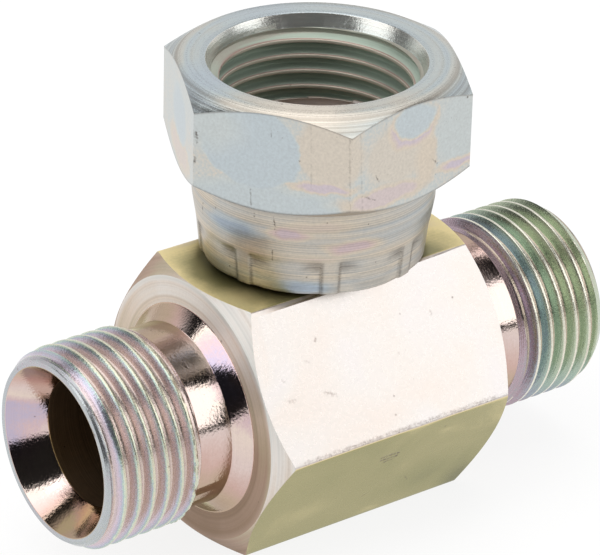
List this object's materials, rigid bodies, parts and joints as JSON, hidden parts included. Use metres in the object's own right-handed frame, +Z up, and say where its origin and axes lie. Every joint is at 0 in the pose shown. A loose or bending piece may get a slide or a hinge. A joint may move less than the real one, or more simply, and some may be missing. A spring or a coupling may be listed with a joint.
{
  "type": "tee adapter",
  "caption": "Steel hydraulic tee adapter: a hex bar body with a coned male thread at each end of the run and a free-turning crimped swivel nut on the branch.",
  "frame": {"origin": "under the crossing of the run and the branch, on the bottom flat of the hex body", "axes": "+X along the run towards the right-hand male end, +Z up along the branch out of the nut, +Y to the back"},
  "size_m": [0.0494, 0.0254, 0.0386],
  "materials": {
    "body_plating": "turned and drawn bar steel, zinc plated with a warm iridescent passivation",
    "stub_plating": "turned steel, zinc plated with an iridescent passivation",
    "braze_metal": "copper braze fillet under zinc plating",
    "nut_plating": "turned steel, zinc plated with a pale blue and grey iridescent passivation"
  },
  "bodies": {
    "tee": {"hex_body": "body_plating", "branch_stub": "stub_plating", "braze_ring": "braze_metal"},
    "nut": {"swivel_nut": "nut_plating"}
  },
  "joints": [
    {"name": "nut_swivel", "type": "hinge", "parent": "tee", "child": "nut", "pos_m": [0, 0, 0.0273], "axis": [0, 0, 1], "continuous": true}
  ]
}
